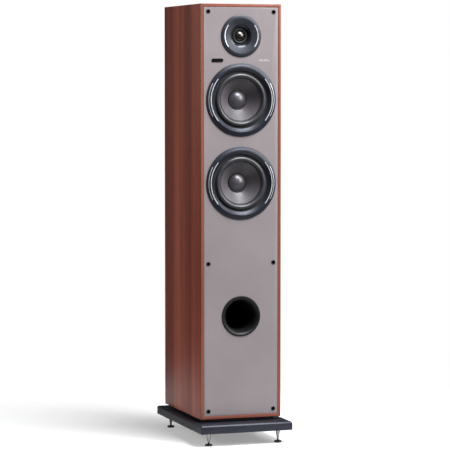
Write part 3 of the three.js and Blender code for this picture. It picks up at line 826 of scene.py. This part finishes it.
def makeTrimRing(side):
    r = ring
    outline = (
        [(84.3, -0.3), (r["outer"] - 0.3, -0.3), (r["outer"], -0.6)]
        + arc((r["outer"] - 0.6, -r["edge"] + 0.5), (0.6, 0.55), 0, 64, 4)
        + [(86.6, -2.62), (85.4, -2.95), (81.0, -4.84), (80.8, -4.6), (80.3, -4.6), (80.1, -5.16)]
        + arc((r["ridge"], -r["high"] + 1.0), (1.1, 1.0), 70, 150, 8)
        + [(73.5, -2.3), (69.9, 0.75)]
        + arc((r["inner"] + 0.8, 1.6), (0.8, 0.8), 140, 180, 4)
        + [(r["inner"], r["inDeep"]), (73.3, r["inDeep"]), (73.3, 4.1), (84.3, 4.1), (84.3, -0.3)]
    )
    node = f"{side}_woofer_trim_ring"
    centre = onBaffle(node)
    piece = turned(f"{side}WooferTrimRing", outline, centre, 144)
    dressed(piece, "cabinet", "moulding", "moulded_black", node)
    for kind, (radius, width, half, (deepIn, deepOut)) in inlays.items():
        inside, outside = radius - width / 2, radius + width / 2
        face = [(inside, deepIn - 0.16), (outside, deepOut - 0.16)]
        strip = face + [(outside, deepOut + 0.4), (inside, deepIn + 0.4), face[0]]
        for hand, start in (("Right", -half), ("Left", 180 - half)):
            bow = turned(f"{side}Woofer{kind}Inlay{hand}", strip, centre, 180, "Y", start, 2 * half)
            dressed(bow, "cabinet", "silver", "moulded_black")


def bent(piece, centre, joint, stillAt, movingAt):  # still outside one radius, moving inside the other
    still, moving = (centre + Vector((radius * mm, 0, 0)) for radius in (stillAt, movingAt))
    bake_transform(piece, "cabinet", joint, still, moving)
    weights = piece.data.attributes["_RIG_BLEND"].data
    for point, weight in zip(piece.data.vertices, weights):
        radius = math.hypot(point.co.x - centre.x, point.co.z - centre.z) / mm
        t = min(1.0, max(0.0, (stillAt - radius) / (stillAt - movingAt)))
        weight.value = t * t * (3 - 2 * t)


def makeRoll(name, node, shape, centre, joint, look):
    # a half roll that stays with the cabinet at its outer edge and follows the cone at its inner one
    s = shape
    outline = (
        [(s["out"], s["base"])]
        + arc((s["middle"], s["base"]), (s["half"], s["rise"]), 0, 180, 28)
        + [(s["in"], s["base"]), (s["in"], s["base"] + s["thick"])]
        + arc((s["middle"], s["base"] + s["thick"]), (s["half"] - s["thick"], s["rise"]), 180, 0, 20)
        + [(s["out"], s["base"] + s["thick"]), (s["out"], s["base"])]
    )
    piece = turned(name, outline, centre, 128)
    dressed(piece, None, look, "surround_rubber", node)
    bent(piece, centre, joint, s["still"], s["moving"])


pleats = {
    "depth": 40.4, "rise": 1.5, "thick": 0.8, "waves": 5,
    "hub": 13.3, "start": 17, "end": 47, "rim": 52.8,
}


def makeSpider(side, centre):
    p = pleats
    front = []
    for i in range(p["waves"] * 8 + 1):
        t = i / (p["waves"] * 8)
        radius = p["start"] + (p["end"] - p["start"]) * t
        front.append((radius, p["depth"] - p["rise"] * math.sin(2 * math.pi * p["waves"] * t)))
    front = [(p["hub"], p["depth"])] + front + [(p["rim"], p["depth"] + 0.4)]
    outline = front + [(r, d + p["thick"]) for r, d in front[::-1]] + front[:1]
    piece = turned(f"{side}WooferSpider", outline, centre, 96)
    dressed(piece, None, "cloth", "treated_cloth", f"{side}_woofer_spider")
    bent(piece, centre, f"{side}_woofer_moving", p["end"], p["start"])


def makeCone(side, centre):
    c = coneShape
    body = f"{side}_woofer_moving"
    front = []
    for i in range(17):
        t = i / 16
        depth = c["start"] + (c["neckDeep"] - c["start"]) * t + c["bow"] * math.sin(math.pi * t)
        front.append((c["rim"] - 0.5 + (c["neck"] - c["rim"] + 0.5) * t, depth))
    back = [(r + 0.8, d + c["thick"]) for r, d in front[::-1]]
    outline = (
        [(c["rim"], 3.05)] + front
        + [(c["neck"], c["end"]), (c["neck"] + 1, c["end"])] + back[:-1]
        + [(c["rim"], 3.7), (c["rim"], 3.05)]
    )
    look = makeConeWeave((side.title(), tuple(centre)))
    dressed(turned(f"{side}WooferCone", outline, centre, 128), body, look, "cone_grey", f"{side}_woofer_cone")
    s = capShape
    cap = turned(f"{side}WooferDustCap", domed(s["rim"], s["deep"], s["rise"], s["thick"], 24), centre, 96)
    sheenName = f"capSatin{side.title()}"
    sheen = makeTurnedMetal(sheenName, tuple(centre), (96, 93, 99), (108, 105, 111), 0.6, (0.31, 0.37))
    dressed(cap, body, sheen, "cap_grey", f"{side}_woofer_dust_cap")
    for end, spot, size in (("Inner", (22.0, 27.3), (1.1, 0.8)), ("Outer", (52.9, 3.0), (0.75, 0.5))):
        bead = turned(f"{side}Woofer{end}Glue", arc(spot, size, 0, 360, 16), centre, 128)
        dressed(bead, body, "glue", "cone_grey")


rollRubber = {"dark": (46, 46, 51), "light": (56, 56, 61), "rough": (0.28, 0.38)}
# painted shade: the roll's outer foot, in the trough by the trim ring, is painted near black in place of the
# shade that falls there
rollTroughShade = {"dark": (6, 6, 8), "light": (9, 9, 11), "rough": (0.7, 0.8)}


def makeWoofers():
    for side in ("upper", "lower"):
        centre = onBaffle(f"{side}_woofer_trim_ring")
        makeTrimRing(side)
        rubberName = f"rollRubber{side.title()}"
        # the outer zone of the roll is painted shade, not a second rubber
        zones = (rubberName, tuple(centre), rollShape["glueFrom"], rollRubber, rollTroughShade, 700)
        rubber = makeZoned(*zones, Specular_IOR_Level=0.6)
        roll = (f"{side}WooferSurround", f"{side}_woofer_surround", rollShape, centre)
        makeRoll(*roll, f"{side}_woofer_moving", rubber)
        makeCone(side, centre)
        makeSpider(side, centre)


tweeterPlate = {"outer": 51, "ridge": 42.7, "high": 3.6, "throat": 20.4, "glossTo": 26.4}
throatGloss = {"dark": (24, 24, 29), "light": (32, 32, 38), "rough": (0.16, 0.22)}
plateSatin = {"dark": (38, 39, 46), "light": (46, 47, 54), "rough": (0.34, 0.42)}
tweeterRoll = {
    "middle": 16.2, "half": 2.8, "rise": 2.2, "base": 10.5, "thick": 0.5, "in": 12.95, "out": 26.4,
    "still": 18.6, "moving": 13.6,
}


def makeTweeter():
    t = tweeterPlate
    centre = onBaffle("tweeter_faceplate")
    outline = (
        [(t["outer"], 4.0), (t["outer"], -0.9)]
        + arc((t["outer"] - 1.2, -0.9), (1.2, 1.2), 0, 65, 6)
        + [(47, -2.85), (44.6, -3.45)]
        + arc((t["ridge"], -t["high"] + 1.2), (1.5, 1.2), 70, 105, 4)
        + [(39, -2.85), (36, -2.1), (33, -1.3), (30, -0.45), (28, 0.15), (26.9, 0.55)]
        + [(26.3, 0.85), (25.0, 1.6), (23.6, 2.6), (22.4, 3.75), (21.4, 5.0), (20.8, 6.2), (t["throat"], 7.5)]
        + [(t["throat"], 10.2), (28, 10.2), (31, 7), (36, 4), (t["outer"], 4.0)]
    )
    piece = turned("tweeterFaceplate", outline, centre, 128)
    zones = ("tweeterPlate", tuple(centre), t["glossTo"], throatGloss, plateSatin, 1500)
    face = makeZoned(*zones, Specular_IOR_Level=0.42, Specular_Tint=blueTint)
    dressed(piece, "cabinet", face, "moulded_black", "tweeter_faceplate")
    strip = [(40.9, -3.42), (43.3, -3.72), (43.3, -3.2), (40.9, -2.8), (40.9, -3.42)]
    for hand, start in (("Right", -38), ("Left", 142)):
        bow = turned(f"tweeterInlay{hand}", strip, centre, 180, "Y", start, 76)
        dressed(bow, "cabinet", "silver", "moulded_black")
    roll = ("tweeterSurround", "tweeter_surround", tweeterRoll, centre)
    makeRoll(*roll, "tweeter_moving", "softRoll")
    dome = turned("tweeterDome", domed(12.6, 10.3, 5.7, 0.5, 20), centre, 96)
    metal = makeTurnedMetal("domeMetal", tuple(centre), (84, 80, 79), (98, 94, 93), 0.9, (0.14, 0.2))
    dressed(dome, "tweeter_moving", metal, "dome_metal", "tweeter_dome")


plinthEdge = {"in": 2.2, "down": 3.2, "up": 0.8, "corner": 1.6, "soft": 0.35}


def makePlinth():
    p = plinthEdge
    low, high = corner("plinth_board")
    up, down = Vector((0, 0, p["up"] * mm)), Vector((0, 0, p["down"] * mm))
    piece = roundedBlock("plinthBoard", low + up, high - down, p["corner"] * mm, "Z", 3)
    size = high - low
    for facing, tall in ((1, p["down"]), (-1, p["up"])):  # the top's chamfer is steeper than it is wide
        inwards = p["in"] if facing > 0 else p["up"]
        pickFaces(piece, lambda face: face.normal.z * facing > 0.9)
        bpy.ops.mesh.extrude_region_move(TRANSFORM_OT_translate={"value": (0, 0, facing * tall * mm)})
        narrower, shallower = (1 - 2 * inwards * mm / span for span in size[:2])
        bpy.ops.transform.resize(value=(narrower, shallower, 1))
        bpy.ops.object.mode_set(mode="OBJECT")
    sharp = {"limit_method": "ANGLE", "angle_limit": math.radians(25)}
    applied(piece, "BEVEL", width=p["soft"] * mm, segments=2, **sharp)
    smoothed(piece, 40)
    dressed(piece, "cabinet", "blackAsh", "black_board", "plinth_board")
    riser = block("plinthRiser", *corner("plinth_riser"))
    applied(riser, "BEVEL", width=0.5 * mm, segments=2)
    dressed(riser, "cabinet", "padBlack", "black_board", "plinth_riser")


footNames = ["front_left", "front_right", "rear_left", "rear_right"]
spikeShape = {"collar": 32.2, "wide": 6.3, "point": 0.5, "stud": 4.0, "studTop": 47.7}
padShape = {"wide": 8.8, "high": 4.5, "dimple": 3.2}


def makeFeet():
    s, p = spikeShape, padShape
    spikeOutline = (
        [(0, 2.2), (s["point"], 2.25), (1.1, 4.0), (2.1, 7.0), (2.9, 12.0)]
        + [(5.5, s["collar"] - 4.6), (5.5, s["collar"] - 4.0)]
        + arc((s["wide"] - 0.7, s["collar"] - 2.7), (0.7, -0.8), 90, 0, 4)
        + arc((s["wide"] - 0.5, s["collar"] - 0.5), (0.5, -0.5), 0, 90, 4)
        + [(s["stud"], s["collar"])]
    )
    thread = s["collar"]
    while thread < s["studTop"] - 1.3:  # the thread's crests and roots
        spikeOutline += [(s["stud"] - 0.5, thread + 0.55), (s["stud"], thread + 1.1)]
        thread += 1.25
    spikeOutline += [(s["stud"] - 0.8, s["studTop"]), (0, s["studTop"])]
    padOutline = (
        [(0, 0), (p["wide"] - 0.7, 0)]
        + arc((p["wide"] - 0.6, 0.6), (0.6, -0.6), -90, 0, 4)
        + arc((p["wide"] - 0.9, p["high"] - 0.9), (0.9, -0.9), 0, 90, 6)
        + [(p["dimple"] + 0.5, p["high"]), (p["dimple"], p["high"] - 0.2), (1.0, 1.7), (0, 1.7)]
    )
    start = middleOf("spike_front_left")
    start.z = 0
    spike = turned("spikeFrontLeft", spikeOutline, start, 64, "Z")
    pad = turned("footPadFrontLeft", padOutline, start, 64, "Z")
    for name in footNames[1:]:
        move = middleOf(f"spike_{name}") - middleOf("spike_front_left")
        title = name.title().replace("_", "")
        spikeTwin, padTwin = copied(spike, "spike" + title, move), copied(pad, "footPad" + title, move)
        dressed(spikeTwin, f"foot_{name}_spike", "chrome", "foot_chrome", f"spike_{name}")
        dressed(padTwin, f"foot_{name}_pad", "padBlack", "pad_metal", f"foot_pad_{name}")
    dressed(spike, "foot_front_left_spike", "chrome", "foot_chrome", "spike_front_left")
    dressed(pad, "foot_front_left_pad", "padBlack", "pad_metal", "foot_pad_front_left")


cupShape = {"flange": 3, "corner": 8, "recessWidth": 92, "recessHeight": 64, "recessCorner": 6, "wall": 2.5}
postShape = {"stud": 3.0, "bore": 3.4, "cap": 8.2, "capLength": 18, "groove": 0.7}


def makeTerminalCup():
    c = cupShape
    low, high = corner("terminal_cup")
    middle = (low + high) / 2
    floorDepth = low.y + c["wall"] * mm
    piece = roundedBlock("terminalCup", (low.x, high.y - c["flange"] * mm, low.z), high, c["corner"] * mm)
    half = Vector((c["recessWidth"] / 2, 0, c["recessHeight"] / 2)) * mm
    wall = Vector((c["wall"], 0, c["wall"])) * mm
    tubLow, tubHigh = middle - half - wall, middle + half + wall
    tubLow.y, tubHigh.y = low.y, high.y - 1 * mm
    combined(piece, roundedBlock("tub", tubLow, tubHigh, (c["recessCorner"] + c["wall"]) * mm), "UNION")
    cutLow, cutHigh = middle - half, middle + half
    cutLow.y, cutHigh.y = floorDepth, high.y + 5 * mm
    combined(piece, roundedBlock("recess", cutLow, cutHigh, c["recessCorner"] * mm), "DIFFERENCE")
    for name in ("negative", "positive"):
        place = Vector((middleOf(f"{name}_post_stud").x, floorDepth, middle.z))
        outline = [(0, -8), (postShape["bore"], -8), (postShape["bore"], 3), (0, 3)]
        combined(piece, turned("hole", outline, place, 48), "DIFFERENCE")
    applied(piece, "BEVEL", width=0.5 * mm, segments=2, limit_method="ANGLE", angle_limit=math.radians(50))
    smoothed(piece, 35)
    dressed(piece, "cabinet", "cup", "cup_plastic", "terminal_cup")
    # a pan-head screw with a cross slot at each corner of the flange
    spot = Vector((low.x + 5.2 * mm, high.y, low.z + 5.2 * mm))
    crown = [(r, -d) for r, d in arc((0, 0.2), (2.9, -1.4), 90, 0, 8)]
    head = turned("flangeScrewA", [(0, -1.6)] + crown + [(2.9, 0.3), (0, 0.3)], spot, 32)
    active(head)
    bpy.ops.object.mode_set(mode="EDIT")
    bpy.ops.mesh.select_all(action="SELECT")
    bpy.ops.transform.mirror(constraint_axis=(False, True, False), center_override=spot)
    bpy.ops.mesh.normals_make_consistent(inside=False)
    bpy.ops.object.mode_set(mode="OBJECT")
    for size in ((2.0, 0.35), (0.35, 2.0)):
        reach = Vector((size[0] * mm, 0, size[1] * mm))
        bottom, top = Vector((0, 0.9 * mm, 0)), Vector((0, 3 * mm, 0))
        combined(head, block("slot", spot - reach + bottom, spot + reach + top), "DIFFERENCE")
    width, height = high.x - low.x - 10.4 * mm, high.z - low.z - 10.4 * mm
    for letter, move in (("B", (width, 0, 0)), ("C", (0, 0, height)), ("D", (width, 0, height))):
        dressed(copied(head, "flangeScrew" + letter, move), "cabinet", "screw", "cup_plastic")
    dressed(head, "cabinet", "screw", "cup_plastic")


def makePosts():
    p = postShape
    for name, look, slotName in (("negative", "capBlack", "post_black"), ("positive", "capRed", "post_red")):
        x, z = middleOf(f"{name}_post_stud").x, middleOf(f"{name}_post_stud").z
        studLow = corner(f"{name}_post_stud")[0].y
        base = Vector((x, studLow + 14 * mm, z))
        outline = [(0, -14), (2.6, -14), (p["stud"], -13.5)]
        travel = -13.5
        while travel < -1:  # the thread that the nut inside takes
            outline += [(p["stud"] - 0.4, travel + 0.5), (p["stud"], travel + 1.0)]
            travel += 1.0
        outline += [(p["stud"], 0.2), (6.2, 0.2), (6.5, 0.5), (6.5, 2.9), (6.2, 3.2)]
        outline += [(p["stud"], 3.2), (p["stud"], 3.6)]
        travel = 3.6
        while travel < 23:  # the thread that the cap runs on
            outline += [(p["stud"] - 0.4, travel + 0.5), (p["stud"], travel + 1.0)]
            travel += 1.0
        outline += [(p["stud"] - 0.3, 24.5), (2.15, 24.5), (2.05, 24.2), (2.05, 8.0), (0, 8.0)]
        stud = turned(f"{name}PostStud", outline, base, 48)
        dressed(stud, "cabinet", "gilt", "post_gilt", f"{name}_post_stud")
        outline = [(p["bore"], 3.45), (6.7, 3.45), (6.8, 3.6), (6.8, 4.2), (6.7, 4.4), (p["bore"], 4.4)]
        washer = turned(f"{name}PostWasher", outline + outline[:1], base, 64)
        dressed(washer, f"{name}_post_washer_body", "gilt", "post_gilt", f"{name}_post_washer")
        capOutline = [(p["bore"], 4.6), (p["cap"] - 0.8, 4.6), (p["cap"], 5.4), (p["cap"], 21.6)]
        capOutline += [(p["cap"] - 1.0, 22.6), (p["bore"] + 0.5, 22.6), (p["bore"], 22.1), (p["bore"], 4.6)]
        cap = turned(f"{name}PostCap", capOutline, base, 72)

        def inFlute(face):  # every other strip of the long side
            out = face.center - base
            side = abs(face.normal.y) < 0.1 and math.hypot(out.x, out.z) > (p["cap"] - 0.3) * mm
            return side and math.degrees(math.atan2(out.z, out.x)) % 30 < 15

        pickFaces(cap, inFlute)
        bpy.ops.mesh.inset(thickness=0.25 * mm)
        bpy.ops.transform.shrink_fatten(value=-p["groove"] * mm)
        bpy.ops.object.mode_set(mode="OBJECT")
        smoothed(cap, 35)
        dressed(cap, f"{name}_post_cap_body", look, slotName, f"{name}_post_cap")


keptNodes = {
    "rear_panel": "rear",
    "upper_brace": "board",
    "lower_brace": "board",
    "tweeter_motor": "ferrite",
    "tweeter_voice_coil": "copper",
    "crossover_board": "circuit",
    "crossover_inductor": "copper",
}
motorLooks = {
    "basket": "frameBlack",
    "top_plate": "steel",
    "magnet": "ferrite",
    "yoke": "steel",
    "voice_coil": "copper",
}
for wooferSide in ("upper", "lower"):
    for nodeEnd, lookName in motorLooks.items():
        keptNodes[f"{wooferSide}_woofer_{nodeEnd}"] = lookName


def dressKeptNodes():
    for node, look in keptNodes.items():
        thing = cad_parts[node]
        for socket in thing.material_slots:
            socket.material = looks[look]


print("cabinet")
makeCabinet()
makeSockets()
makeBaffle()
makePort()
makeBadge()
print("woofers and tweeter")
makeWoofers()
makeTweeter()
print("plinth, feet and terminals")
makePlinth()
makeFeet()
makeTerminalCup()
makePosts()
dressKeptNodes()
deselectAll()
